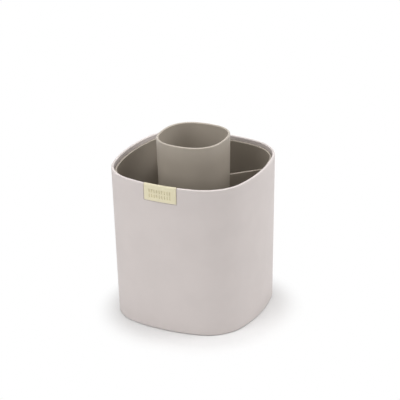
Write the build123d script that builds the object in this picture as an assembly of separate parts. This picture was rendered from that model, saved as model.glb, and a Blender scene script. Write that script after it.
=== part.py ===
from build123d import *
import math
import os

# Makeup brush holder: a soft-square pot, a lift-out divider insert and a lift-out centre cup.
# All sizes are millimetres. The origin is on the table, in the middle of the base. +Z is up, and the
# tag hangs on the -Y side. Each moulded form tapers towards its foot, so each plan outline is worked
# out from the outline at the top and the height.

# Outer pot. Width and plan radii are those of the rim, on the outside.
pot_width = 112.0
pot_height = 116.0
pot_side_radius = 123.0
pot_corner_radius = 33.0
pot_draft = 0.86
pot_band_height = 60.0
pot_wall = 2.0
pot_floor = 2.5
pot_rim_round = 0.8
pot_foot_chamfer = 1.0
pot_floor_chamfer = 1.0

# Shallow recess under the base, and the four non-slip pads that stand round it. The pads' middles lie
# this far in from the pot's sides.
base_recess_radius = 36.0
base_recess_depth = 0.8
pad_radius = 6.5
pad_thickness = 2.0
pad_lift = 0.8
pad_edge_chamfer = 0.4
pad_fit = 0.25
pad_inset = 20.5

# Divider insert: liner wall, floor, four diagonal fins and the socket that centres the cup.
liner_drop = 3.0
liner_fit = 0.5
liner_wall = 1.6
liner_floor = 2.0
liner_edge_chamfer = 0.4
liner_inner_chamfer = 1.2
fin_drop = 16.5
fin_top_width = 1.8
fin_root_width = 2.6
fin_edge_chamfer = 0.4
socket_height = 6.0
socket_wall = 1.6
socket_edge_chamfer = 0.4

# Centre cup. Width and plan radii are those of its rim, on the outside.
cup_width = 52.0
cup_side_radius = 48.0
cup_corner_radius = 20.0
cup_draft = 1.2
cup_band_height = 45.0
cup_stands_proud = 19.0
cup_wall = 1.8
cup_floor = 2.2
cup_fit = 0.4
cup_rim_round = 0.7
cup_foot_chamfer = 1.2
cup_inner_chamfer = 2.0
cup_recess_depth = 0.7
cup_foot_width = 3.0

# Tag folded over the pot's rim.
tag_width = 25.5
tag_outer_drop = 13.3
tag_inner_drop = 11.0
tag_thickness = 0.6
tag_fit = 0.1
tag_fold_round = 0.3

# Heights that follow from the sizes above.
pot_base_z = pad_lift
pot_rim_z = pot_base_z + pot_height
insert_base_z = pot_base_z + pot_floor
cup_base_z = insert_base_z + liner_floor
liner_top_z = pot_rim_z - liner_drop
fin_top_z = pot_rim_z - fin_drop
cup_top_z = pot_rim_z + cup_stands_proud

# Each cutter runs this far past the edge that it opens, and each rounded rim has this many bands.
past_rim = 5.0
rim_band_count = 3


class SoftSquare:
    """A tapered form whose plan is four bulged sides and four round corners, all tangent.

    The draft is that of the middle of each side. The plan keeps its proportions all the way down.
    A wall taller than band_height is split into bands, which keeps its mesh light.
    """

    def __init__(self, width, side_radius, corner_radius, draft, top_z, band_height):
        half_width = width / 2
        self.side_radius = side_radius
        self.corner_radius = corner_radius
        self.top_z = top_z
        self.band_height = band_height
        self.taper = math.tan(math.radians(draft)) / half_width
        # Each side arc is centred behind the middle, each corner arc on a diagonal.
        self.side_centre = side_radius - half_width
        reach = side_radius - corner_radius
        self.corner_centre = (math.sqrt(2 * reach**2 - self.side_centre**2) - self.side_centre) / 2
        self.side_angle = math.degrees(
            math.atan2(self.corner_centre, self.side_centre + self.corner_centre)
        )

    def outline(self, inset, z):
        """The plan as a face at height z, moved inwards by inset from the outer skin."""
        size = 1 - self.taper * (self.top_z - z)
        side = CenterArc(
            (-self.side_centre * size, 0),
            self.side_radius * size - inset,
            -self.side_angle,
            2 * self.side_angle,
        )
        corner = CenterArc(
            (self.corner_centre * size, self.corner_centre * size),
            self.corner_radius * size - inset,
            self.side_angle,
            90 - 2 * self.side_angle,
        )
        arcs = [Rot(0, 0, 90 * turn) * arc for turn in range(4) for arc in (side, corner)]
        return Pos(0, 0, z) * make_face(arcs)

    def solid(self, profile):
        """The form through a profile of (inset, height) points, from the bottom up."""
        sections = [self.outline(*profile[0])]
        for (low_inset, low_z), (high_inset, high_z) in zip(profile, profile[1:]):
            bands = math.ceil((high_z - low_z) / self.band_height)
            for band in range(1, bands + 1):
                share = band / bands
                inset = low_inset + share * (high_inset - low_inset)
                sections.append(self.outline(inset, low_z + share * (high_z - low_z)))
        return loft(sections, ruled=True)


pot_form = SoftSquare(
    pot_width, pot_side_radius, pot_corner_radius, pot_draft, pot_rim_z, pot_band_height
)
cup_form = SoftSquare(
    cup_width, cup_side_radius, cup_corner_radius, cup_draft, cup_top_z, cup_band_height
)


def straight(inset, low_z, high_z):
    """Profile of a plain wall between two heights."""
    return [(inset, low_z), (inset, high_z)]


def lower_edge(inset, z, size):
    """Profile of a chamfered lower edge, out from the flat at height z and up into the wall."""
    return [(inset + size, z), (inset, z + size)]


def upper_edge(inset, z, size, bands=1):
    """Profile of an upper edge, up out of the wall and in to the flat at height z.

    One band makes a chamfer. More bands follow a quarter round.
    """
    turns = [math.radians(90 * band / bands) for band in range(bands + 1)]
    return [(inset + size * (1 - math.cos(turn)), z - size * (1 - math.sin(turn))) for turn in turns]


def flared_top(inset, z, size, bands=1):
    """Profile of a hollow that opens out over an upper edge, whose flat is at height z."""
    flare = [(2 * inset - point, height) for point, height in upper_edge(inset, z, size, bands)]
    return flare + [(inset - size, z + past_rim)]


def block(width, depth, low_z, high_z):
    """An upright block centred on the origin in plan."""
    return Pos(0, 0, (low_z + high_z) / 2) * Box(width, depth, high_z - low_z)


def disc(radius, low_z, high_z):
    """An upright disc centred on the origin in plan."""
    return Pos(0, 0, (low_z + high_z) / 2) * Cylinder(radius, high_z - low_z)


def pad_places():
    """Name and centre of each pad under the base."""
    offset = pot_width / 2 - pad_inset
    places = {}
    for depth_name, y in (("front", -offset), ("back", offset)):
        for side_name, x in (("left", -offset), ("right", offset)):
            places[f"base_pad_{depth_name}_{side_name}"] = (x, y)
    return places


def make_pot():
    """The outer pot, with its base recess, its pad pockets and the pocket behind the tag."""
    body = lower_edge(0, pot_base_z, pot_foot_chamfer)
    body += upper_edge(0, pot_rim_z, pot_rim_round, rim_band_count)
    hollow = lower_edge(pot_wall, insert_base_z, pot_floor_chamfer)
    hollow += flared_top(pot_wall, pot_rim_z, pot_rim_round, rim_band_count)
    pot = pot_form.solid(body) - pot_form.solid(hollow)

    pot -= disc(base_recess_radius, pot_base_z, pot_base_z + base_recess_depth)
    for x, y in pad_places().values():
        pot -= Pos(x, y, 0) * disc(pad_radius + pad_fit, 0, pad_thickness)
    return pot - tag_pocket()


def tag_pocket():
    """Shallow pocket in the pot's inner face for the tag's inner leg."""
    low_z = pot_rim_z - tag_inner_drop - tag_fit
    high_z = pot_rim_z + past_rim
    depth = tag_thickness + 2 * tag_fit
    ring = pot_form.solid(straight(pot_wall - depth, low_z, high_z))
    window = block(tag_width + 2 * tag_fit, pot_width, low_z, high_z)
    return ring & Pos(0, -pot_width / 2, 0) * window


def make_pad(x, y):
    """One round non-slip pad, pressed up into its pocket."""
    pad = disc(pad_radius, 0, pad_thickness)
    foot_edge = pad.edges().group_by(Axis.Z)[0]
    return Pos(x, y, 0) * chamfer(foot_edge, pad_edge_chamfer)


def make_liner():
    """The liner wall and floor of the insert, open at the top."""
    outer_inset = pot_wall + liner_fit
    inner_inset = outer_inset + liner_wall
    body = lower_edge(outer_inset, insert_base_z, pot_floor_chamfer)
    body += upper_edge(outer_inset, liner_top_z, liner_edge_chamfer)
    hollow = lower_edge(inner_inset, cup_base_z, liner_inner_chamfer)
    # The wall's upper band starts where the fins' top edges are chamfered.
    hollow += [(inner_inset, fin_top_z - fin_edge_chamfer)]
    hollow += flared_top(inner_inset, liner_top_z, liner_edge_chamfer)
    return pot_form.solid(body) - pot_form.solid(hollow)


def make_fin(turn):
    """One tapered fin on a diagonal, from the middle out into the liner's wall."""
    low_z = insert_base_z + liner_floor / 2
    section = Plane.YZ * Polygon(
        (-fin_root_width / 2, low_z),
        (fin_root_width / 2, low_z),
        (fin_top_width / 2, fin_top_z),
        (-fin_top_width / 2, fin_top_z),
        align=None,
    )
    fin = extrude(section, pot_width)
    fin = chamfer(fin.edges().filter_by(Axis.X).group_by(Axis.Z)[-1], fin_edge_chamfer)
    wall_middle = pot_wall + liner_fit + liner_wall / 2
    within = pot_form.solid(straight(wall_middle, low_z, fin_top_z + past_rim))
    return Rot(0, 0, 45 + 90 * turn) * fin & within


def make_socket():
    """The low ring that centres the cup, still solid inside."""
    inset = -cup_fit - socket_wall
    top_z = cup_base_z + socket_height
    low_z = insert_base_z + liner_floor / 2
    return cup_form.solid([(inset, low_z)] + upper_edge(inset, top_z, socket_edge_chamfer))


def make_insert():
    """Liner, four fins and the socket ring as one moulding, with the well that the cup lifts out of."""
    insert = make_liner() + make_socket()
    for turn in range(4):
        insert += make_fin(turn)
    return insert - cup_form.solid(straight(-cup_fit, cup_base_z, cup_top_z))


def make_cup():
    """The centre cup, tapered towards a foot with a shallow recess."""
    body = lower_edge(0, cup_base_z, cup_foot_chamfer)
    body += upper_edge(0, cup_top_z, cup_rim_round, rim_band_count)
    hollow = lower_edge(cup_wall, cup_base_z + cup_floor, cup_inner_chamfer)
    hollow += flared_top(cup_wall, cup_top_z, cup_rim_round, rim_band_count)
    cup = cup_form.solid(body) - cup_form.solid(hollow)
    recess_inset = cup_foot_chamfer + cup_foot_width
    return cup - cup_form.solid(straight(recess_inset, cup_base_z, cup_base_z + cup_recess_depth))


def make_tag():
    """The tag: an outer leg, a fold over the rim and an inner leg in its pocket."""
    low_z = pot_rim_z - tag_outer_drop
    top_z = pot_rim_z + tag_fit + tag_thickness
    outer_skin = -tag_fit - tag_thickness
    inner_skin = pot_wall - tag_fit
    body = [(outer_skin, low_z)] + upper_edge(outer_skin, top_z, tag_fold_round, rim_band_count)
    hollow = [(inner_skin, low_z)] + flared_top(inner_skin, top_z, tag_fold_round, rim_band_count)
    tag = pot_form.solid(body) - pot_form.solid(hollow)

    wall = pot_form.solid(straight(-tag_fit, low_z, pot_rim_z + tag_fit))
    wall -= pot_form.solid(straight(inner_skin - tag_thickness, low_z, pot_rim_z + tag_fit))
    tag -= wall
    tag -= pot_form.solid(straight(0, low_z, pot_rim_z - tag_inner_drop))
    return tag & Pos(0, -pot_width / 2, 0) * block(tag_width, pot_width, low_z, top_z)


def make_parts():
    """Every piece of the holder, by the name of its file."""
    parts = {
        "outer_pot": make_pot(),
        "divider_insert": make_insert(),
        "centre_cup": make_cup(),
        "rim_tag": make_tag(),
    }
    for name, (x, y) in pad_places().items():
        parts[name] = make_pad(x, y)
    return parts


os.makedirs("parts", exist_ok=True)
for name, part in make_parts().items():
    export_step(part, f"parts/{name}.step")
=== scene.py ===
"""Studio view of a makeup brush holder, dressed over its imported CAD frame.

The holder is a soft-square pot with a lift-out divider insert, a lift-out centre cup, a tag folded over
the rim and four non-slip pads. Lengths are in metres. Heights and places come from the frame.
"""

import logging
import math
from collections.abc import Callable
from dataclasses import dataclass, field
from enum import Enum

import bmesh
import bpy
from mathutils import Matrix, Vector


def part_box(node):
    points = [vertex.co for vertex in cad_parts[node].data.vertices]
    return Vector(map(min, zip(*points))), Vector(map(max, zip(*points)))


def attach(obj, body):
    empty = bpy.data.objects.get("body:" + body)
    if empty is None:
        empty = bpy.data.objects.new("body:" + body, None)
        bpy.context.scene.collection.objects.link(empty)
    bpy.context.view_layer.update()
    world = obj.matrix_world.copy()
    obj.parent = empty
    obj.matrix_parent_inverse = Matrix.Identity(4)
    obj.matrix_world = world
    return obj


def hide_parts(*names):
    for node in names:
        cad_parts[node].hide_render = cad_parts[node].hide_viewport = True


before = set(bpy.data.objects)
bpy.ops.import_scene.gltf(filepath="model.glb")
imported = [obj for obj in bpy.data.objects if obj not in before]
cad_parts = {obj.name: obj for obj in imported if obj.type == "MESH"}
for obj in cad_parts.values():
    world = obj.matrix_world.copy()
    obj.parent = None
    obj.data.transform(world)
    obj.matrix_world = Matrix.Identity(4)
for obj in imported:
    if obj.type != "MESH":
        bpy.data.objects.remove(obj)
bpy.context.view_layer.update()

log = logging.getLogger("brush_holder")

MM = 0.001
TOUCHING = 0.002 * MM  # vertices this near are merged
DRAWN_TWICE = 0.01 * MM  # points of a drawn plan this near are merged
LEVEL = 0.02 * MM  # vertices this near to a height lie at it
UPRIGHT = 0.9  # least share of a normal that looks up or down
FLAT = 0.99  # the same of a face that lies level
CUTTER_ROUND = 0.2 * MM  # the softened inner corner of a round pocket
REST_GAP = 0.02 * MM  # room under a lift-out piece
FOOT_DROP = 0.45 * MM  # how far the pot's foot reaches below the frame's
TAG_PROUD = 0.35 * MM  # how far the tag's fold stands above the rim
TAG_SHORTER = 1.0 * MM  # by how much the tag's outer leg ends above the frame's
TAG_INNER_LEG = 11.0 * MM  # how far the tag's inner leg reaches down from the rim
FIN_DROP = 16.5 * MM  # how far the fins' tops lie below the rim
GAZE = 62.8 * MM  # height of the point that the camera turns round

Colour = tuple[float, float, float]
Pair = tuple[float, float]
Piece = bpy.types.Object
Socket = bpy.types.NodeSocket
Edge = bmesh.types.BMEdge
Face = bmesh.types.BMFace


class Body(str, Enum):
    """The bodies that pieces ride on."""

    POT = "pot"
    INSERT = "insert"
    CUP = "cup"


class Slot(str, Enum):
    """The record's material slots."""

    POT_SHELL = "pot_shell"
    INSERT_MOULDING = "insert_moulding"
    CUP_MOULDING = "cup_moulding"
    TAG_PLATE = "tag_plate"
    GRIP_PAD = "grip_pad"


class Element(str, Enum):
    """What edit mode selects."""

    FACE = "FACE"
    EDGE = "EDGE"


class Joining(str, Enum):
    """What a second shape does to a piece."""

    ADD = "UNION"
    CUT = "DIFFERENCE"


class Reckoning(str, Enum):
    """How one value is made of two."""

    SUM = "ADD"
    PRODUCT = "MULTIPLY"
    LARGER = "MAXIMUM"


# Finishes


def linear(colour: Colour) -> tuple[float, float, float, float]:
    """Turns a display colour, 0 to 1, into the linear one that shaders read, with an alpha of 1."""
    parts = [c / 12.92 if c <= 0.04045 else ((c + 0.055) / 1.055) ** 2.4 for c in colour]
    return (parts[0], parts[1], parts[2], 1.0)


def tinted(colour: Colour, amount: float) -> Colour:
    """Lightens a display colour, or darkens it where amount is negative."""
    red, green, blue = (min(1.0, max(0.0, c * (1 + amount))) for c in colour)
    return (red, green, blue)


class NodeBench:
    """Adds and wires the nodes of one material or world."""

    def __init__(self, owner: bpy.types.Material | bpy.types.World) -> None:
        """Opens the nodes of a material or a world.

        Args:
            owner: The material or the world.
        """
        owner.use_nodes = True
        self.owner = owner
        self.tree = owner.node_tree
        self.shader = self.tree.nodes.get("Principled BSDF")

    def add(self, kind: str, **settings: object) -> bpy.types.Node:
        """Adds a node.

        Args:
            kind: The node's type name.
            **settings: Attributes to set on it.

        Returns:
            The new node.
        """
        node = self.tree.nodes.new(kind)
        for key, value in settings.items():
            setattr(node, key, value)
        return node

    def wire(self, source: Socket, target: Socket) -> None:
        """Links one socket to another."""
        self.tree.links.new(source, target)

    def place(self) -> Socket:
        """Gives each point's Object coordinates."""
        return self.add("ShaderNodeTexCoord").outputs["Object"]

    def noise(self, grain: float, detail: float = 2.0, stretch: tuple[float, float, float] = (1.0, 1.0, 1.0)) -> Socket:
        """Adds a noise pattern on Object coordinates.

        Args:
            grain: Size of one grain, in metres.
            detail: How many finer layers the pattern has.
            stretch: How many times finer the grain is along each axis.

        Returns:
            The socket with the pattern's value.
        """
        mapping = self.add("ShaderNodeMapping")
        mapping.inputs["Scale"].default_value = stretch
        pattern = self.add("ShaderNodeTexNoise")
        pattern.inputs["Scale"].default_value = 1.0 / grain
        pattern.inputs["Detail"].default_value = detail
        self.wire(self.place(), mapping.inputs["Vector"])
        self.wire(mapping.outputs["Vector"], pattern.inputs["Vector"])
        return pattern.outputs["Fac"]

    def height(self) -> Socket:
        """Reads each point's height.

        Returns:
            The socket with the height over the table.
        """
        parts = self.add("ShaderNodeSeparateXYZ")
        self.wire(self.place(), parts.inputs["Vector"])
        return parts.outputs["Z"]

    def spread(self, value: Socket, low: float, high: float, start: float = 0.3, end: float = 0.7) -> Socket:
        """Maps a value smoothly onto a range.

        Args:
            value: The value.
            low: The result up to start.
            high: The result from end on.
            start: Where the change starts.
            end: Where the change ends.

        Returns:
            The socket with the mapped value.
        """
        ramp = self.add("ShaderNodeMapRange", interpolation_type="SMOOTHSTEP")
        for name, bound in {"From Min": start, "From Max": end, "To Min": low, "To Max": high}.items():
            ramp.inputs[name].default_value = bound
        self.wire(value, ramp.inputs["Value"])
        return ramp.outputs["Result"]

    def reckon(self, way: Reckoning, first: Socket, second: Socket) -> Socket:
        """Makes one value of two.

        Args:
            way: How it's made.
            first: The first value.
            second: The second value.

        Returns:
            The socket with the result.
        """
        result = self.add("ShaderNodeMath", operation=way.value)
        self.wire(first, result.inputs[0])
        self.wire(second, result.inputs[1])
        return result.outputs["Value"]

    def blend(self, share: Socket, first: Colour, second: Colour) -> Socket:
        """Blends two display colours by a pattern.

        Args:
            share: The pattern, 0 for the first colour and 1 for the second.
            first: The first colour.
            second: The second colour.

        Returns:
            The socket with the blended colour.
        """
        mix = self.add("ShaderNodeMix", data_type="RGBA")
        for socket, colour in zip([each for each in mix.inputs if each.type == "RGBA"], (first, second)):
            socket.default_value = linear(colour)
        self.wire(share, mix.inputs["Factor"])
        return next(socket for socket in mix.outputs if socket.type == "RGBA")

    def bump(self, height: Socket, depth: float, under: Socket | None = None) -> Socket:
        """Adds a bump.

        Args:
            height: The height pattern.
            depth: The relief's depth, in metres.
            under: A bump that this one lies on.

        Returns:
            The socket with the bumped normal.
        """
        relief = self.add("ShaderNodeBump")
        relief.inputs["Distance"].default_value = depth
        self.wire(height, relief.inputs["Height"])
        if under is not None:
            self.wire(under, relief.inputs["Normal"])
        return relief.outputs["Normal"]

    def seen_rays(self) -> Socket:
        """Tells the rays of the camera, of gloss and of clear pieces from those that only light.

        Returns:
            The socket that is 1 for those rays and 0 for the rest.
        """
        rays = self.add("ShaderNodeLightPath")
        seen = rays.outputs["Is Camera Ray"]
        for other in ("Is Glossy Ray", "Is Transmission Ray"):
            seen = self.reckon(Reckoning.LARGER, seen, rays.outputs[other])
        return seen

    def show(self, share: Socket, first: Socket, second: Socket, out: bpy.types.Node) -> None:
        """Shows the first of two surfaces where a share is 0, and the second where it is 1.

        Args:
            share: The share.
            first: The first surface.
            second: The second surface.
            out: The node that shows them.
        """
        mix = self.add("ShaderNodeMixShader")
        for source, target in ((share, "Fac"), (first, 1), (second, 2)):
            self.wire(source, mix.inputs[target])
        self.wire(mix.outputs["Shader"], out.inputs["Surface"])


@dataclass(frozen=True)
class MouldedFinish:
    """Fine matt moulded plastic: spark-eroded grain, and a rim that handling has polished.

    Attributes:
        name: The material's name.
        colour: The plastic's colour as it looks on a screen.
        rim: Height of the rim that handling rubs.
        shade: How far the colour drifts either way, as a share.
        grain: Size of the mould's grain.
        depth: Depth of the grain.
        roughness: The gloss, from the smoothest patch to the dullest.
        polish: How much smoother the plastic gets at the rim.
    """

    name: str
    colour: Colour
    rim: float
    shade: float = 0.007
    grain: float = 0.4 * MM
    depth: float = 0.012 * MM
    roughness: Pair = (0.5, 0.56)
    polish: float = 0.12

    def material(self) -> bpy.types.Material:
        """Builds the material.

        Returns:
            The material.
        """
        cloud, patch, wave, wave_depth = 22 * MM, 6 * MM, 18 * MM, 0.01 * MM
        polished_from = self.rim - 5 * MM
        index_of_refraction = 1.46
        bench = NodeBench(bpy.data.materials.new(self.name))
        drift = bench.spread(bench.noise(cloud, detail=3.0), 0.0, 1.0)
        tone = bench.blend(drift, tinted(self.colour, -self.shade), tinted(self.colour, self.shade))
        bench.wire(tone, bench.shader.inputs["Base Color"])
        dull = bench.spread(bench.noise(patch, detail=4.0), *self.roughness)
        rim_polish_and_fold_shade = bench.spread(bench.height(), 0.0, -self.polish, polished_from, self.rim)
        bench.wire(bench.reckon(Reckoning.SUM, dull, rim_polish_and_fold_shade), bench.shader.inputs["Roughness"])
        waviness = bench.bump(bench.noise(wave, detail=0.0), wave_depth)
        grain = bench.bump(bench.noise(self.grain, detail=1.5), self.depth, under=waviness)
        bench.wire(grain, bench.shader.inputs["Normal"])
        bench.shader.inputs["IOR"].default_value = index_of_refraction
        return bench.owner


@dataclass(frozen=True)
class SatinPlateFinish:
    """Thin metal plate under a satin champagne coat, with a faint brushing along X and painted shade over the fold.

    Attributes:
        name: The material's name.
        colour: The coat's colour as it looks on a screen.
        crest: Height of the fold's crest, over which the coat is darkened.
        rim_polish_and_fold_shade: How much darker the coat is over the fold, as a share: painted shade that tones down
            the light the crest catches from above.
        metallic: How much of the metal's own reflection comes through.
        roughness: The gloss, from the smoothest streak to the dullest.
    """

    name: str
    colour: Colour
    crest: float
    rim_polish_and_fold_shade: float = 0.12
    metallic: float = 0.3
    roughness: Pair = (0.48, 0.58)

    def material(self) -> bpy.types.Material:
        """Builds the material.

        Returns:
            The material.
        """
        streak, along_x, streak_depth, cloud, brighter = 0.3 * MM, 0.08, 0.006 * MM, 9 * MM, 0.015
        fold_shade_from, fold_shade_full = self.crest - 0.9 * MM, self.crest - 0.3 * MM
        drift_share, fold_shade_share = 0.2, 0.8
        bench = NodeBench(bpy.data.materials.new(self.name))
        streaks = bench.noise(streak, stretch=(along_x, 1.0, 1.0))
        pattern = bench.reckon(Reckoning.SUM, streaks, bench.noise(cloud))
        drift = bench.spread(pattern, 0.0, drift_share, start=0.7, end=1.3)
        # Painted shade: the coat turns darker towards the fold's crest, to tone down the light that the crest catches
        # from above.
        fold = bench.spread(bench.height(), 0.0, fold_shade_share, fold_shade_from, fold_shade_full)
        light, dark = tinted(self.colour, brighter), tinted(self.colour, -self.rim_polish_and_fold_shade)
        tone = bench.blend(bench.reckon(Reckoning.SUM, drift, fold), light, dark)
        bench.wire(tone, bench.shader.inputs["Base Color"])
        bench.wire(bench.spread(streaks, *self.roughness), bench.shader.inputs["Roughness"])
        bench.wire(bench.bump(streaks, streak_depth), bench.shader.inputs["Normal"])
        bench.shader.inputs["Metallic"].default_value = self.metallic
        return bench.owner


@dataclass(frozen=True)
class SoftPadFinish:
    """Soft cloudy rubber that grips a table.

    Attributes:
        name: The material's name.
        colour: The rubber's colour as it looks on a screen.
    """

    name: str
    colour: Colour

    def material(self) -> bpy.types.Material:
        """Builds the material.

        Returns:
            The material.
        """
        patch, darker, lighter, roughness = 2.5 * MM, -0.04, 0.03, (0.62, 0.74)
        grain, depth = 0.25 * MM, 0.01 * MM
        bench = NodeBench(bpy.data.materials.new(self.name))
        cloud = bench.noise(patch, detail=3.0)
        tone = bench.blend(bench.spread(cloud, 0.0, 1.0), tinted(self.colour, darker), tinted(self.colour, lighter))
        bench.wire(tone, bench.shader.inputs["Base Color"])
        bench.wire(bench.spread(cloud, *roughness), bench.shader.inputs["Roughness"])
        bench.wire(bench.bump(bench.noise(grain), depth), bench.shader.inputs["Normal"])
        return bench.owner


Finish = MouldedFinish | SatinPlateFinish | SoftPadFinish


# Modelling by hand


def pick_all() -> None:
    """Selects the whole mesh."""
    bpy.ops.mesh.select_all(action="SELECT")


def clean() -> None:
    """Merges doubles and points faces outwards."""
    pick_all()
    bpy.ops.mesh.remove_doubles(threshold=TOUCHING)
    bpy.ops.mesh.normals_make_consistent(inside=False)


def start_piece(name: str, add: Callable[..., object], **settings: object) -> Piece:
    """Adds a primitive with nothing else selected, and opens it in edit mode.

    Args:
        name: The piece's name.
        add: Adds the primitive.
        **settings: The primitive's size and place.

    Returns:
        The new object, at the origin, with all of its mesh selected.
    """
    bpy.ops.object.select_all(action="DESELECT")
    add(**settings)
    piece = bpy.context.object
    piece.name = name
    piece.data.name = name
    bpy.ops.object.transform_apply(location=True, rotation=True, scale=True)
    bpy.ops.object.mode_set(mode="EDIT")
    bpy.ops.mesh.select_mode(type="VERT")
    pick_all()
    return piece


def start_point(name: str, place: Vector) -> Piece:
    """Starts a piece as a single point, ready to be drawn out.

    Args:
        name: The piece's name.
        place: Where the point is.

    Returns:
        The new object, open in edit mode, with its point selected.
    """
    piece = start_piece(name, bpy.ops.mesh.primitive_plane_add, size=MM, location=place)
    bpy.ops.mesh.merge(type="CENTER")
    return piece


def start_section(name: str, corners: list[Pair]) -> Piece:
    """Draws a closed section in the plane X = 0, corner by corner.

    Args:
        name: The piece's name.
        corners: The corners as (Y, Z), in order.

    Returns:
        The new object, open in edit mode, with its one face selected.
    """
    piece = start_point(name, Vector((0.0, *corners[0])))
    for (last_y, last_z), (y, z) in zip(corners, corners[1:]):
        extrude(y=y - last_y, z=z - last_z)
    pick_all()
    bpy.ops.mesh.edge_face_add()
    return piece


def pick(piece: Piece, kind: Element, test: Callable[[Face], bool] | Callable[[Edge], bool]) -> None:
    """Selects the faces or the edges that pass a test, and nothing else.

    Args:
        piece: The object that is open in edit mode.
        kind: What is selected.
        test: Says whether a face or an edge is wanted.
    """
    bpy.ops.mesh.select_mode(type=kind.value)
    bpy.ops.mesh.select_all(action="DESELECT")
    shape = bmesh.from_edit_mesh(piece.data)
    shape.normal_update()
    for part in [part for part in (shape.faces if kind is Element.FACE else shape.edges) if test(part)]:
        part.select_set(True)
    shape.select_flush_mode()
    bmesh.update_edit_mesh(piece.data)


def pick_faces(piece: Piece, test: Callable[[Face], bool]) -> None:
    """Selects the faces that pass a test, and nothing else."""
    pick(piece, Element.FACE, test)


def pick_edges(piece: Piece, test: Callable[[Edge], bool]) -> None:
    """Selects the edges that pass a test, and nothing else."""
    pick(piece, Element.EDGE, test)


def move(x: float = 0.0, y: float = 0.0, z: float = 0.0) -> None:
    """Moves what is selected."""
    bpy.ops.transform.translate(value=(x, y, z))


def extrude(x: float = 0.0, y: float = 0.0, z: float = 0.0) -> None:
    """Extrudes what is selected."""
    bpy.ops.mesh.extrude_region_move(TRANSFORM_OT_translate={"value": (x, y, z)})


def inset(width: float) -> None:
    """Insets the selected face."""
    bpy.ops.mesh.inset(thickness=width, use_even_offset=True)


def resize(x: float, y: float, centre: Pair = (0.0, 0.0)) -> None:
    """Scales what is selected in plan, from an upright axis."""
    bpy.ops.transform.resize(value=(x, y, 1.0), center_override=(*centre, 0.0))


def round_over(radius: float, segments: int = 5) -> None:
    """Rounds the selected edges."""
    bpy.ops.mesh.bevel(offset=radius, segments=segments, profile=0.5, clamp_overlap=False)


def faces_up(face: Face) -> bool:
    """Says whether a face looks up."""
    return face.normal.z > UPRIGHT


def faces_down(face: Face) -> bool:
    """Says whether a face looks down."""
    return -face.normal.z > UPRIGHT


def lies_at(edge: Edge, z: float) -> bool:
    """Says whether an edge lies flat at height z."""
    return all(abs(vertex.co.z - z) < LEVEL for vertex in edge.verts)


def is_lip(edge: Edge) -> bool:
    """Says whether an edge joins a level face to a wall."""
    level = [abs(face.normal.z) > FLAT for face in edge.link_faces]
    return len(level) == 2 and level.count(True) == 1


def round_lip(piece: Piece, z: float, radius: float, segments: int, beyond: float = 0.0) -> None:
    """Rounds the edges at one height where a level face meets a wall.

    Args:
        piece: The object that is open in edit mode.
        z: The height.
        radius: The round's radius.
        segments: The round's number of bands.
        beyond: How far from the upright axis in the middle such an edge has to lie.
    """
    pick_edges(
        piece,
        lambda edge: lies_at(edge, z)
        and is_lip(edge)
        and min(vertex.co.xy.length for vertex in edge.verts) >= beyond,
    )
    round_over(radius, segments)


def is_hollow(edge: Edge, least: float = 55.0) -> bool:
    """Says whether an edge is an inside corner of at least so many degrees."""
    return len(edge.link_faces) == 2 and -edge.calc_face_angle_signed(0.0) > math.radians(least)


def finish_shape(piece: Piece, sharp_over: float = 35.0) -> None:
    """Merges doubles, points faces outwards, leaves edit mode and smooths the rounds.

    Args:
        piece: The object that is open in edit mode.
        sharp_over: The angle in degrees over which an edge stays sharp.
    """
    clean()
    bpy.ops.object.mode_set(mode="OBJECT")
    hold(piece)
    bpy.ops.object.shade_smooth_by_angle(angle=math.radians(sharp_over))


def hold(*pieces: Piece) -> None:
    """Selects pieces and nothing else, and makes the first one active.

    Args:
        *pieces: The pieces.
    """
    bpy.ops.object.select_all(action="DESELECT")
    for piece in pieces:
        piece.select_set(True)
    bpy.context.view_layer.objects.active = pieces[0]


def combine(piece: Piece, tool: Piece, joining: Joining) -> None:
    """Joins another closed shape to a piece or cuts it away, deletes it and cleans the piece.

    Args:
        piece: The piece.
        tool: The other shape.
        joining: What the other shape does to the piece.
    """
    change = piece.modifiers.new("combine", "BOOLEAN")
    change.operation = joining.value
    change.solver = "EXACT"
    change.object = tool
    hold(piece)
    bpy.ops.object.modifier_apply(modifier=change.name)
    bpy.data.objects.remove(tool, do_unlink=True)
    bpy.ops.object.mode_set(mode="EDIT")
    finish_shape(piece)


def even_normals(piece: Piece) -> None:
    """Keeps flats flat beside their rounds.

    Args:
        piece: The piece.
    """
    weigh = piece.modifiers.new("even_normals", "WEIGHTED_NORMAL")
    weigh.keep_sharp = True
    weigh.weight = 80
    hold(piece)
    bpy.ops.object.modifier_apply(modifier=weigh.name)


def set_out(master: Piece, places: dict[str, Matrix]) -> list[Piece]:
    """Copies a piece to each of its places, each copy with its own mesh, and deletes the first one.

    Args:
        master: The piece to copy.
        places: How each copy's mesh is moved or turned, by the copy's name.

    Returns:
        The copies, in the order of their places.
    """
    copies = []
    for name, change in places.items():
        piece = master.copy()
        piece.data = master.data.copy()
        piece.name = name
        piece.data.name = name
        piece.data.transform(change)
        bpy.context.scene.collection.objects.link(piece)
        copies.append(piece)
    bpy.data.objects.remove(master, do_unlink=True)
    return copies


def disc_cutter(name: str, radius: float, low: float, depth: float, gated: bool = False) -> Piece:
    """Models a round cutter, with a softened inner corner, that sinks into a piece's underside.

    Args:
        name: The cutter's name.
        radius: Its radius.
        low: Height of the underside.
        depth: How deep it cuts.
        gated: Whether it leaves a gate mark in the middle.

    Returns:
        The cutter.
    """
    spare = 2.0 * MM
    tall = depth + spare
    place = (0.0, 0.0, low + depth - tall / 2)
    add = bpy.ops.mesh.primitive_cylinder_add
    cutter = start_piece(name, add, vertices=72, radius=radius, depth=tall, location=place)
    round_lip(cutter, low + depth, CUTTER_ROUND, segments=3)
    if gated:
        add_gate_mark(cutter, radius - CUTTER_ROUND)
    finish_shape(cutter)
    return cutter


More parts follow.
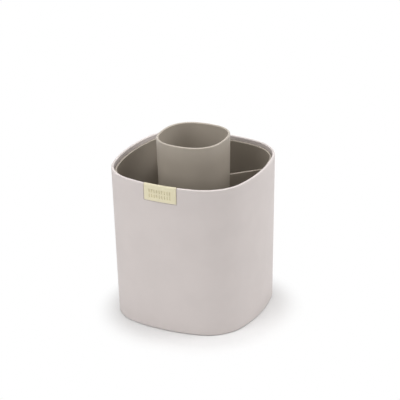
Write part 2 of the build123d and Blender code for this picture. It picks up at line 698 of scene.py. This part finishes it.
def add_gate_mark(cutter: Piece, radius: float) -> None:
    """Adds the dimple and the cut-off gate that moulding leaves in the middle of a base.

    Args:
        cutter: A round cutter that is open in edit mode.
        radius: Radius of the cutter's flat top.
    """
    dimple, dimple_depth, dimple_taper = 2.4 * MM, 0.3 * MM, 0.9
    stub, stub_height, stub_taper = 0.8 * MM, 0.22 * MM, 0.85
    pick_faces(cutter, lambda face: faces_up(face) and face.calc_area() > math.pi * dimple**2)
    inset(radius - dimple)
    extrude(z=dimple_depth)
    resize(dimple_taper, dimple_taper)
    inset(dimple_taper * dimple - stub)
    extrude(z=-stub_height)
    resize(stub_taper, stub_taper)


# Plan of the moulded forms


@dataclass
class SoftSquare:
    """A tapered form whose plan is four bulged sides and four round corners, all tangent.

    Attributes:
        width: Width of the rim, outside.
        side_radius: Radius of each bulged side at the rim.
        corner_radius: Radius of each corner at the rim.
        draft: Taper of the middle of each side, in degrees.
        top: Height of the rim.
        side_steps: Faces along each side.
        corner_steps: Faces round each corner.
        side_centre: Distance from the middle to the centre of each side's arc.
        corner_centre: How far the centre of each corner's arc lies along X and Y.
        side_angle: Half the angle of each side's arc.
    """

    width: float
    side_radius: float
    corner_radius: float
    draft: float
    top: float
    side_steps: int = 20
    corner_steps: int = 16
    side_centre: float = field(init=False)
    corner_centre: float = field(init=False)
    side_angle: float = field(init=False)

    def __post_init__(self) -> None:
        """Works out where the arcs are centred and how far each side reaches."""
        self.side_centre = self.side_radius - self.width / 2
        reach = self.side_radius - self.corner_radius
        self.corner_centre = (math.sqrt(2 * reach**2 - self.side_centre**2) - self.side_centre) / 2
        self.side_angle = math.atan2(self.corner_centre, self.side_centre + self.corner_centre)

    def size_at(self, z: float) -> float:
        """The plan's size at a height, as a share of the rim's."""
        return 1 - math.tan(math.radians(self.draft)) / (self.width / 2) * (self.top - z)

    def half_width(self, inset_by: float, z: float) -> float:
        """Distance from the middle to the middle of a side, at an inset and a height."""
        return self.width / 2 * self.size_at(z) - inset_by

    def corner_reach(self, inset_by: float, z: float) -> float:
        """Distance from the middle to a corner, at an inset and a height."""
        return (math.sqrt(2) * self.corner_centre + self.corner_radius) * self.size_at(z) - inset_by

    def plate(self, name: str, inset_by: float, z: float) -> Piece:
        """Draws the plan by spinning one point round each arc in turn, and fills it.

        Args:
            name: The new piece's name.
            inset_by: How far the plan lies inside the outer skin.
            z: The plate's height.

        Returns:
            The new object, open in edit mode, with its one face selected.
        """
        size = self.size_at(z)
        out = Vector((self.side_radius * size - inset_by, 0.0, z))
        out.rotate(Matrix.Rotation(-self.side_angle, 3, "Z"))
        piece = start_point(name, out - Vector((self.side_centre * size, 0.0, 0.0)))
        for turn in range(4):
            quarter = Matrix.Rotation(math.radians(90 * turn), 3, "Z")
            side = quarter @ Vector((-self.side_centre * size, 0.0, z))
            corner = quarter @ Vector((self.corner_centre * size, self.corner_centre * size, z))
            self._sweep(side, 2 * self.side_angle, self.side_steps)
            self._sweep(corner, math.radians(90) - 2 * self.side_angle, self.corner_steps)
        pick_all()
        bpy.ops.mesh.remove_doubles(threshold=DRAWN_TWICE)
        bpy.ops.mesh.edge_face_add()
        return piece

    @staticmethod
    def _sweep(centre: Vector, angle: float, steps: int) -> None:
        """Spins the selected point anticlockwise, seen from above."""
        bpy.ops.mesh.spin(steps=steps, angle=-angle, center=centre, axis=(0.0, 0.0, 1.0))

    def _draw_through(self, inset_by: float, heights: tuple[float, ...]) -> None:
        """Extrudes the selected face from one height to the next, along the taper of a skin.

        Args:
            inset_by: How far the skin lies inside the outer one.
            heights: The heights, of which the first is the face's own.
        """
        for last, z in zip(heights, heights[1:]):
            extrude(z=z - last)
            size = self.half_width(inset_by, z) / self.half_width(inset_by, last)
            resize(size, size)

    def tub(
        self, name: str, inset_by: float, low: float, high: float, wall: float, floor: float, row: float | None = None
    ) -> Piece:
        """Raises an open-topped tub from its foot, tapered inside and out.

        Args:
            name: The new piece's name.
            inset_by: How far the tub's outside lies inside the outer skin.
            low: Height of its foot.
            high: Height of its rim.
            wall: Thickness of its wall.
            floor: Height of its floor inside.
            row: Height of an extra row of edges round the wall.

        Returns:
            The new object, open in edit mode, with sharp edges and its floor selected.
        """
        rows = () if row is None else (row,)
        piece = self.plate(name, inset_by, low)
        self._draw_through(inset_by, (low, *rows, high))
        pick_all()
        bpy.ops.mesh.normals_make_consistent(inside=False)
        pick_faces(piece, faces_up)
        inset(wall)
        self._draw_through(inset_by + wall, (high, *rows, floor))
        return piece


# Sub-assemblies


@dataclass
class SubAssembly:
    """What every sub-assembly of the holder has.

    Attributes:
        body: The body that it moves with.
        slot: The record's slot for its finish; not used.
        finish: Its finish.
        pieces: Its finished pieces, each by the CAD node that it replaces.
    """

    body: Body
    slot: Slot
    finish: Finish
    pieces: dict[str, Piece] = field(default_factory=dict, init=False)

    def build(self) -> None:
        """Models the pieces."""
        raise NotImplementedError

    def dress(self) -> None:
        """Gives each piece its finish, its body and its CAD node, and reports it."""
        material = self.finish.material()
        for node, piece in self.pieces.items():
            piece.data.materials.clear()
            piece.data.materials.append(material)
            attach(piece, self.body.value)
            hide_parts(node)
            triangles = sum(len(face.vertices) - 2 for face in piece.data.polygons)
            log.info("%s: %d triangles, replaces %s on %s", piece.name, triangles, node, self.body.value)


@dataclass
class BasePads(SubAssembly):
    """The four non-slip pads under the base.

    Attributes:
        spacing: Distance between their middles, along each side.
        radius: Radius of a pad.
        top: Height of a pad's top, up in its pocket.
        fit: Room round a pad in its pocket.
        edge_round: Radius of a pad's lower edge.
        dish_radius: Radius of the shallow dish under a pad.
        dish_slope: Width of the dish's sloping edge.
        dish_depth: Depth of the dish.
    """

    spacing: float
    radius: float
    top: float
    fit: float = 0.25 * MM
    edge_round: float = 0.45 * MM
    dish_radius: float = 4.6 * MM
    dish_slope: float = 0.5 * MM
    dish_depth: float = 0.18 * MM

    def places(self, kind: str) -> dict[str, Matrix]:
        """Places something at the four corners.

        Args:
            kind: What it is.

        Returns:
            The shift from the middle to each corner, by what is there.
        """
        half = self.spacing / 2
        signs = {"front_left": (-1, -1), "front_right": (1, -1), "back_left": (-1, 1), "back_right": (1, 1)}
        return {f"{kind}_{corner}": Matrix.Translation((x * half, y * half, 0.0)) for corner, (x, y) in signs.items()}

    def pockets(self, underside: float) -> list[Piece]:
        """Models the cutters for the pockets that the pads sit in, up from the pot's underside."""
        cutter = disc_cutter("pocket_cutter", self.radius + self.fit, underside, self.top - underside)
        return set_out(cutter, self.places("pocket"))

    def build(self) -> None:
        """Models one pad, with a rounded edge and a dished underside, and copies it to each corner."""
        add = bpy.ops.mesh.primitive_cylinder_add
        middle = (0.0, 0.0, self.top / 2)
        master = start_piece("pad_master", add, vertices=64, radius=self.radius, depth=self.top, location=middle)
        pick_faces(master, faces_down)
        inset(self.radius - self.dish_radius)
        inset(self.dish_slope)
        move(z=self.dish_depth)
        round_lip(master, 0.0, self.edge_round, segments=4, beyond=self.dish_radius + self.dish_slope)
        finish_shape(master)
        even_normals(master)
        self.pieces = dict(zip(self.places("base_pad"), set_out(master, self.places("grip_pad"))))


@dataclass
class RimTag(SubAssembly):
    """The tag folded over the rim on the -Y side, let into a shallow seat.

    Attributes:
        form: The pot's outer skin.
        width: Width of the tag.
        low: Height of the outer leg's end.
        inner_low: Height of the inner leg's end.
        pot_wall: Thickness of the pot's wall.
        thickness: Thickness of the plate.
        fit: Room between the plate and the pot.
        sunk: How deep the seat is in the pot's skin and rim.
        seat_room: Width of the line that the seat leaves round the plate.
        fold_round: Radius of the fold's two outer edges.
        edge_round: Radius of every other edge.
        steps: Faces along the plate.
        notches: Stamped notches along the plate and down it.
        notch_pitch: Distance between notches, along the plate and down it.
        notch_sink: How far below the middle of the outer leg they are.
        notch_radius: Radius of a notch's two ends.
        notch_length: Height of a notch.
        notch_depth: Depth of a notch.
        notch_scoop: Radius between a notch's floor and its wall.
    """

    form: SoftSquare
    width: float
    low: float
    inner_low: float
    pot_wall: float = 2.0 * MM
    thickness: float = 0.6 * MM
    fit: float = 0.1 * MM
    sunk: float = 0.35 * MM
    seat_room: float = 0.7 * MM
    fold_round: float = 0.9 * MM
    edge_round: float = 0.12 * MM
    steps: int = 25
    notches: tuple[int, int] = (9, 2)
    notch_pitch: Pair = (2.05 * MM, 3.7 * MM)
    notch_sink: float = 0.3 * MM
    notch_radius: float = 0.45 * MM
    notch_length: float = 2.8 * MM
    notch_depth: float = 0.5 * MM
    notch_scoop: float = 0.1 * MM

    def _skin(self, inset_by: float, z: float) -> float:
        """Place along Y of the pot's skin on the tag's side, at an inset and a height."""
        return -self.form.half_width(inset_by, z)

    def _along_rim(self, name: str, corners: list[Pair], extra: float = 0.0) -> Piece:
        """Draws a section across the rim and spins it from one end of the tag to the other.

        Args:
            name: The new piece's name.
            corners: The section's corners as (inset from the pot's skin, height), in order.
            extra: Extra width at each end.

        Returns:
            The new object, open in edit mode.
        """
        piece = start_section(name, [(self._skin(place, z), z) for place, z in corners])
        axis = (0.0, self.form.side_centre, 0.0)
        half = math.asin((self.width / 2 + extra) / self.form.side_radius)
        pick_all()
        bpy.ops.transform.rotate(value=-half, orient_axis="Z", center_override=axis)
        bpy.ops.mesh.spin(steps=self.steps, angle=2 * half, center=axis, axis=(0.0, 0.0, 1.0))
        clean()
        return piece

    def build(self) -> None:
        """Models the plate as one folded section spun along the rim, softened and stamped."""
        over = self.form.top + self.fit - self.sunk
        crest = over + self.thickness
        back = self.sunk - self.fit
        outer = back - self.thickness
        near = self.pot_wall - self.fit - self.thickness
        far = self.pot_wall - self.fit
        under = [(outer, self.low), (back, self.low), (back, over), (near, over), (near, self.inner_low)]
        tag = self._along_rim("rim_tag_plate", [*under, (far, self.inner_low), (far, crest), (outer, crest)])
        pick_edges(tag, lambda edge: lies_at(edge, crest) and is_lip(edge) and not self._is_end(edge))
        round_over(self.fold_round, segments=8)
        sharp = math.radians(60)
        pick_edges(tag, lambda edge: edge.calc_face_angle_signed(0.0) > sharp)
        round_over(self.edge_round, segments=2)
        finish_shape(tag)
        combine(tag, self._notch_cutter(outer), Joining.CUT)
        even_normals(tag)
        self.pieces["rim_tag"] = tag

    @staticmethod
    def _is_end(edge: Edge) -> bool:
        """Says whether an edge runs across the rim, at an end of the tag."""
        step = edge.verts[1].co - edge.verts[0].co
        return abs(step.y) > abs(step.x)

    def _notch_cutter(self, outer: float) -> Piece:
        """Models one upright notch with round ends and copies it into rows on the outer leg.

        Args:
            outer: How far the leg's face lies inside the pot's skin.

        Returns:
            One cutter with all the notches.
        """
        add, across, tall = bpy.ops.mesh.primitive_cylinder_add, (math.pi / 2, 0.0, 0.0), 2 * self.notch_depth
        master = start_piece("notch_master", add, vertices=18, radius=self.notch_radius, depth=tall, rotation=across)
        off_middle = 0.1 * self.notch_radius
        for way in (-1, 1):
            pick_edges(master, lambda edge: min(way * vertex.co.z for vertex in edge.verts) > off_middle)
            move(z=way * (self.notch_length / 2 - self.notch_radius))
        pick_edges(master, lambda edge: min(vertex.co.y for vertex in edge.verts) > self.notch_depth / 2)
        round_over(self.notch_scoop, segments=2)
        finish_shape(master)
        count, rows = self.notches
        pitch, drop = self.notch_pitch
        middle = (self.low + self.form.top) / 2 - self.notch_sink
        axis = Matrix.Translation((0.0, self.form.side_centre, 0.0))
        places = {}
        for row in range(rows):
            z = middle + (row - (rows - 1) / 2) * drop
            place = Matrix.Translation((0.0, self._skin(outer, z), z))
            for number in range(count):
                turn = (number - (count - 1) / 2) * pitch / self.form.side_radius
                places[f"notch_{row}_{number}"] = axis @ Matrix.Rotation(turn, 4, "Z") @ axis.inverted() @ place
        copies = set_out(master, places)
        hold(*copies)
        bpy.ops.object.join()
        return copies[0]

    def seat(self) -> Piece:
        """Models the cutter for the shallow seat that wraps the pot's wall under the plate.

        Returns:
            The cutter.
        """
        spare = 3.0 * MM
        level, high = self.form.top - self.sunk, self.form.top + spare
        low, inner_low = self.low - self.seat_room, self.inner_low - self.fit
        outside, inside = -spare, self.pot_wall + spare
        hidden = self.pot_wall - self.thickness - 2 * self.fit
        skin = [(self.sunk, low), (self.sunk, level), (hidden, level), (hidden, inner_low)]
        around = [(inside, inner_low), (inside, high), (outside, high), (outside, low)]
        cutter = self._along_rim("tag_seat", skin + around, self.seat_room)
        finish_shape(cutter)
        return cutter


@dataclass
class Pot(SubAssembly):
    """The outer pot.

    Attributes:
        form: Its outer skin.
        low: Height of its foot.
        floor: Height of its floor inside.
        pads: The pads whose pockets are in its base.
        tag: The tag that is let into its rim.
        wall: Thickness of its wall.
        rim_round: Radius of the rim's two edges.
        foot_round: Radius of the foot.
        floor_round: Radius of the corner inside.
        recess_radius: Radius of the shallow recess in the base.
        recess_depth: Depth of that recess.
        row_drop: How far below the tag a row of edges runs round the wall.
    """

    form: SoftSquare
    low: float
    floor: float
    pads: BasePads
    tag: RimTag
    wall: float = 2.0 * MM
    rim_round: float = 0.8 * MM
    foot_round: float = 0.6 * MM
    floor_round: float = 1.0 * MM
    recess_radius: float = 36.0 * MM
    recess_depth: float = 1.25 * MM
    row_drop: float = 2.0 * MM

    def build(self) -> None:
        """Models the shell, and takes out the base's recess and what the pads and the tag sit in."""
        row = min(self.tag.low, self.tag.inner_low) - self.row_drop
        pot = self.form.tub("pot_shell", 0.0, self.low, self.form.top, self.wall, self.floor, row)
        round_lip(pot, self.form.top, self.rim_round, segments=6)
        round_lip(pot, self.low, self.foot_round, segments=5)
        round_lip(pot, self.floor, self.floor_round, segments=4)
        finish_shape(pot)
        recess = disc_cutter("base_recess", self.recess_radius, self.low, self.recess_depth, gated=True)
        for cutter in (recess, *self.pads.pockets(self.low), self.tag.seat()):
            combine(pot, cutter, Joining.CUT)
        even_normals(pot)
        self.pieces["outer_pot"] = pot


@dataclass
class Divider(SubAssembly):
    """The divider insert: liner, four diagonal fins and the socket ring that centres the cup.

    Attributes:
        form: The pot's outer skin, which the liner follows inside.
        cup_form: The cup's outer skin, which the socket and the fins follow.
        low: Height of the liner's underside.
        floor: Height of the liner's floor inside.
        top: Height of the liner's top edge.
        fin_top: Height of the fins.
        wall: Thickness of the liner's wall.
        inset_by: How far the liner lies inside the pot's skin.
        edge_round: Radius of the top edges.
        foot_round: Radius of the liner's foot.
        inner_round: Radius of the corner inside.
        fin_widths: Thickness of a fin at its root and at its top.
        fin_room: Further room between a fin and the cup.
        fin_round: Radius of a fin's top edges.
        fin_fillet: Radius where the fins and the socket grow out of the liner.
        socket_height: Height of the socket ring over the floor.
        socket_wall: Thickness of the socket ring.
        cup_fit: Room round the cup.
        sunk: How far fins and socket reach into the liner before they are joined.
    """

    form: SoftSquare
    cup_form: SoftSquare
    low: float
    floor: float
    top: float
    fin_top: float
    wall: float = 1.6 * MM
    inset_by: float = 2.5 * MM
    edge_round: float = 0.45 * MM
    foot_round: float = 1.0 * MM
    inner_round: float = 1.4 * MM
    fin_widths: Pair = (2.6 * MM, 1.8 * MM)
    fin_room: float = 0.05 * MM
    fin_round: float = 0.5 * MM
    fin_fillet: float = 0.5 * MM
    socket_height: float = 6.0 * MM
    socket_wall: float = 1.6 * MM
    cup_fit: float = 0.4 * MM
    sunk: float = 0.6 * MM

    def build(self) -> None:
        """Models the liner, the socket ring and the fins, and joins them as one moulding."""
        insert = self._liner()
        combine(insert, self._socket(), Joining.ADD)
        for fin in self._fins():
            combine(insert, fin, Joining.ADD)
        self._soften_joins(insert)
        even_normals(insert)
        self.pieces["divider_insert"] = insert

    def _liner(self) -> Piece:
        """Models the liner.

        Returns:
            Its wall and floor.
        """
        liner = self.form.tub("divider_moulding", self.inset_by, self.low, self.top, self.wall, self.floor)
        round_lip(liner, self.top, self.edge_round, segments=4)
        round_lip(liner, self.low, self.foot_round, segments=4)
        round_lip(liner, self.floor, self.inner_round, segments=5)
        finish_shape(liner)
        return liner

    def _socket(self) -> Piece:
        """Models the low ring round the cup's foot.

        Returns:
            The ring, its underside sunk in the floor.
        """
        outer = -self.cup_fit - self.socket_wall
        top = self.floor + self.socket_height
        low = self.floor - self.sunk
        ring = self.cup_form.tub("cup_socket_ring", outer, low, top, self.socket_wall, low)
        bpy.ops.mesh.delete(type="FACE")
        pick_faces(ring, faces_down)
        bpy.ops.mesh.delete(type="ONLY_FACE")
        pick_edges(ring, lambda edge: len(edge.link_faces) == 1)
        bpy.ops.mesh.bridge_edge_loops()
        round_lip(ring, top, self.edge_round, segments=4)
        finish_shape(ring)
        return ring

    def _fins(self) -> list[Piece]:
        """Models one fin and turns a copy of it to each diagonal."""
        turns = {f"divider_fin_{turn}": Matrix.Rotation(math.radians(turn), 4, "Z") for turn in (45, 135, 225, 315)}
        return set_out(self._fin(), turns)

    def _fin(self) -> Piece:
        """Models a fin along +X.

        Returns:
            A block thinned upwards, slanted at its ends and rounded on top.
        """
        low, top = self.floor - self.sunk, self.fin_top
        inner = {z: self.cup_form.corner_reach(-self.cup_fit - self.fin_room, z) for z in (low, top)}
        outer = {z: self.form.corner_reach(self.inset_by + self.wall / 2, z) for z in (low, top)}
        middle = (inner[low] + outer[low]) / 2
        root, crest = self.fin_widths
        size, place = (outer[low] - inner[low], root, top - low), (middle, 0.0, (top + low) / 2)
        fin = start_piece("fin_master", bpy.ops.mesh.primitive_cube_add, size=1.0, scale=size, location=place)
        pick_faces(fin, faces_up)
        resize((outer[top] - inner[top]) / size[0], crest / root, centre=(middle, 0.0))
        move(x=(inner[top] + outer[top]) / 2 - middle)
        round_lip(fin, top, self.fin_round, segments=4)
        finish_shape(fin)
        return fin

    def _soften_joins(self, insert: Piece) -> None:
        """Rounds the inside corners where the fins and the socket grow out of the liner.

        Args:
            insert: The joined moulding.
        """
        hold(insert)
        bpy.ops.object.mode_set(mode="EDIT")
        pick_edges(insert, lambda edge: is_hollow(edge) and edge.verts[0].co.z > self.floor - LEVEL)
        round_over(self.fin_fillet, segments=3)
        finish_shape(insert)


@dataclass
class CentreCup(SubAssembly):
    """The lift-out cup in the middle.

    Attributes:
        form: Its outer skin.
        low: Height of its foot.
        wall: Thickness of its wall.
        floor_thickness: Thickness of its floor.
        rim_round: Radius of the rim's two edges.
        foot_round: Radius of the foot.
        floor_round: Radius of the corner inside.
        foot_width: Width of the ring that it stands on.
        recess_depth: Depth of the recess under it.
        gate_radius: Radius of the disc round the gate, in that recess.
        gate_depth: Depth of that disc.
    """

    form: SoftSquare
    low: float
    wall: float = 1.8 * MM
    floor_thickness: float = 2.2 * MM
    rim_round: float = 0.7 * MM
    foot_round: float = 1.2 * MM
    floor_round: float = 2.2 * MM
    foot_width: float = 4.2 * MM
    recess_depth: float = 0.7 * MM
    gate_radius: float = 4.0 * MM
    gate_depth: float = 0.1 * MM

    def build(self) -> None:
        """Models the cup, with a recess and a gate mark under its foot."""
        floor = self.low + self.floor_thickness
        cup = self.form.tub("centre_cup_shell", 0.0, self.low, self.form.top, self.wall, floor)
        pick_faces(cup, lambda face: faces_down(face) and face.calc_center_median().z < self.low + MM)
        inset(self.foot_width)
        extrude(z=self.recess_depth)
        round_lip(cup, self.form.top, self.rim_round, segments=6)
        ring_middle = self.form.half_width(self.foot_width / 2, self.low)
        round_lip(cup, self.low, self.foot_round, segments=4, beyond=ring_middle)
        round_lip(cup, floor, self.floor_round, segments=5)
        finish_shape(cup)
        gate = disc_cutter("cup_gate", self.gate_radius, self.low, self.recess_depth + self.gate_depth, gated=True)
        combine(cup, gate, Joining.CUT)
        even_normals(cup)
        self.pieces["centre_cup"] = cup


# Studio


def direction(azimuth: float, elevation: float) -> Vector:
    """The way out from the holder at an azimuth, from -Y towards +X, and a height, both in degrees."""
    a, e = math.radians(azimuth), math.radians(elevation)
    return Vector((math.sin(a) * math.cos(e), -math.cos(a) * math.cos(e), math.sin(e)))


@dataclass
class Studio:
    """Camera, floor and lights.

    Attributes:
        target: The point that the camera's fit turns round.
        azimuth: The camera's direction in degrees, from -Y towards +X.
        elevation: The camera's height in degrees.
        distance: How far the camera stands from the target.
        roll: The camera's roll, in radians.
        shift: How far the target lies from the middle of the view, right and up.
        focal: Focal length in pixels of the photograph.
        image: The photograph's width in pixels.
        fill: Strength of the even light from all round.
        fill_colour: Colour of that light.
        paper: How light the paper is, as it looks on a screen.
        shade_centre: The middle of the soft shade on the paper.
        paper_fade: How far from there the paper starts to turn white, and where it is white.
    """

    target: Vector
    azimuth: float = 26.0
    elevation: float = 23.7
    distance: float = 1.1631
    roll: float = 0.0188
    shift: Pair = (-4.09 * MM, -18.89 * MM)
    focal: float = 1545.0
    image: int = 400
    fill: float = 0.35
    fill_colour: Colour = (1.0, 0.995, 0.99)
    paper: float = 0.9
    shade_centre: tuple[float, float, float] = (9.0 * MM, -11.0 * MM, 0.0)
    paper_fade: Pair = (56.0 * MM, 82.0 * MM)

    def build(self) -> None:
        """Sets up the whole studio."""
        self.add_camera()
        self.add_floor()
        self.add_world()
        self.hang_panel("panel_front", direction(-24.0, 28.0), distance=1.2, size=0.9, power=5.9)
        self.hang_panel("panel_side", direction(112.0, 32.0), distance=1.2, size=0.9, power=6.5)
        self.hang_panel("panel_top", direction(25.0, 89.0), distance=0.9, size=0.5, power=5.2)
        bpy.context.scene.view_settings.view_transform = "Standard"

    def add_camera(self) -> None:
        """Places the camera where the photograph was taken from."""
        forward = -direction(self.azimuth, self.elevation)
        right = direction(self.azimuth + 90.0, 0.0)
        up = right.cross(forward)
        place = self.target - self.shift[0] * right - self.shift[1] * up - self.distance * forward
        across = math.cos(self.roll) * right - math.sin(self.roll) * up
        over = math.sin(self.roll) * right + math.cos(self.roll) * up
        lens = bpy.data.cameras.new("studio_camera")
        lens.lens = lens.sensor_width * self.focal / self.image
        lens.clip_start = 50 * MM
        camera = bpy.data.objects.new("studio_camera", lens)
        bpy.context.scene.collection.objects.link(camera)
        camera.matrix_world = Matrix.Translation(place) @ Matrix((across, over, -forward)).transposed().to_4x4()
        bpy.context.scene.camera = camera

    def add_floor(self) -> None:
        """Lays a sheet of white paper that keeps the holder's soft shadow and turns white further out."""
        bpy.ops.object.select_all(action="DESELECT")
        bpy.ops.mesh.primitive_circle_add(vertices=96, radius=4000 * MM, fill_type="NGON")
        floor = bpy.context.object
        floor.name = "studio_floor"
        bench = NodeBench(bpy.data.materials.new("studio_paper"))
        bench.shader.inputs["Base Color"].default_value = linear((self.paper,) * 3)
        bench.shader.inputs["Roughness"].default_value = 0.9
        bench.shader.inputs["Specular IOR Level"].default_value = 0.1
        far = bench.add("ShaderNodeVectorMath", operation="DISTANCE")
        far.inputs[1].default_value = self.shade_centre
        bench.wire(bench.place(), far.inputs[0])
        beyond = bench.spread(far.outputs["Value"], 0.0, 1.0, *self.paper_fade)
        white = bench.add("ShaderNodeEmission").outputs["Emission"]
        share = bench.reckon(Reckoning.PRODUCT, beyond, bench.seen_rays())
        bench.show(share, bench.shader.outputs["BSDF"], white, bench.tree.nodes["Material Output"])
        floor.data.materials.append(bench.owner)

    def add_world(self) -> None:
        """Fills the studio with even light, and shows white behind the holder and in its gloss."""
        world = bpy.data.worlds.new("studio_world")
        bpy.context.scene.world = world
        bench = NodeBench(world)
        bench.tree.nodes.clear()
        lights = []
        for colour, strength in ((self.fill_colour, self.fill), ((1.0, 1.0, 1.0), 1.0)):
            light = bench.add("ShaderNodeBackground")
            light.inputs["Color"].default_value = (*colour, 1.0)
            light.inputs["Strength"].default_value = strength
            lights.append(light.outputs["Background"])
        bench.show(bench.seen_rays(), *lights, bench.add("ShaderNodeOutputWorld"))

    def hang_panel(self, name: str, way: Vector, distance: float, size: float, power: float) -> None:
        """Hangs one square panel light that faces the holder.

        Args:
            name: The light's name.
            way: The way out to it.
            distance: How far it hangs from the holder.
            size: The length of its side.
            power: Its power in watts.
        """
        data = bpy.data.lights.new(name, "AREA")
        data.shape = "SQUARE"
        data.size = size
        data.energy = power
        light = bpy.data.objects.new(name, data)
        bpy.context.scene.collection.objects.link(light)
        light.location = self.target + distance * way
        light.rotation_euler = (-way).to_track_quat("-Z", "Y").to_euler()


# Assembly


def plan_holder() -> list[SubAssembly]:
    """Sizes every sub-assembly from the frame.

    Returns:
        The sub-assemblies, in the order in which they are built.
    """
    pot_low, pot_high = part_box("outer_pot")
    insert_low, insert_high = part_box("divider_insert")
    cup_low, cup_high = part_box("centre_cup")
    tag_low, tag_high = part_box("rim_tag")
    pad_low, pad_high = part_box("base_pad_back_right")

    greige = MouldedFinish("pot_greige_moulding", (0.805, 0.773, 0.762), rim=pot_high.z)
    satin = (0.38, 0.46)
    # The insert and the cup are one taupe plastic in two tones: the insert's darker tone is painted shade, and the
    # cup's lighter tone is painted light.
    insert_taupe_shaded = MouldedFinish(
        "insert_taupe_painted_shade", (0.61, 0.575, 0.53), insert_high.z, shade=0.012, roughness=satin, polish=0.03
    )
    cup_taupe_lit = MouldedFinish("cup_taupe_painted_light", (0.67, 0.635, 0.588), cup_high.z, shade=0.012, roughness=satin)
    champagne = SatinPlateFinish("tag_champagne_coat", (0.86, 0.83, 0.715), crest=pot_high.z + TAG_PROUD)
    rubber = SoftPadFinish("pad_soft_rubber", (0.72, 0.71, 0.70))

    pot_form = SoftSquare(
        width=112.0 * MM, side_radius=123.0 * MM, corner_radius=33.0 * MM, draft=0.86, top=pot_high.z
    )
    cup_form = SoftSquare(
        width=52.0 * MM,
        side_radius=48.0 * MM,
        corner_radius=20.0 * MM,
        draft=1.2,
        top=cup_high.z,
        side_steps=16,
        corner_steps=10,
    )
    spacing, radius = pad_low.x + pad_high.x, (pad_high.x - pad_low.x) / 2
    pads = BasePads(Body.POT, Slot.GRIP_PAD, rubber, spacing=spacing, radius=radius, top=pad_high.z)
    tag = RimTag(
        Body.POT,
        Slot.TAG_PLATE,
        champagne,
        form=pot_form,
        width=tag_high.x - tag_low.x,
        low=tag_low.z + TAG_SHORTER,
        inner_low=pot_high.z - TAG_INNER_LEG,
    )
    low, floor = pot_low.z - FOOT_DROP, insert_low.z - REST_GAP
    pot = Pot(Body.POT, Slot.POT_SHELL, greige, form=pot_form, low=low, floor=floor, pads=pads, tag=tag)
    divider = Divider(
        Body.INSERT,
        Slot.INSERT_MOULDING,
        insert_taupe_shaded,
        form=pot_form,
        cup_form=cup_form,
        low=insert_low.z,
        floor=cup_low.z - REST_GAP,
        top=insert_high.z,
        fin_top=pot_high.z - FIN_DROP,
    )
    cup = CentreCup(Body.CUP, Slot.CUP_MOULDING, cup_taupe_lit, form=cup_form, low=cup_low.z)
    return [pads, tag, pot, divider, cup]


def main() -> None:
    """Builds and dresses the holder, then sets up the studio."""
    logging.basicConfig(level=logging.INFO, format="%(message)s")
    for part in plan_holder():
        part.build()
        part.dress()
    Studio(target=Vector((0.0, 0.0, GAZE))).build()


if __name__ == "__main__":
    main()
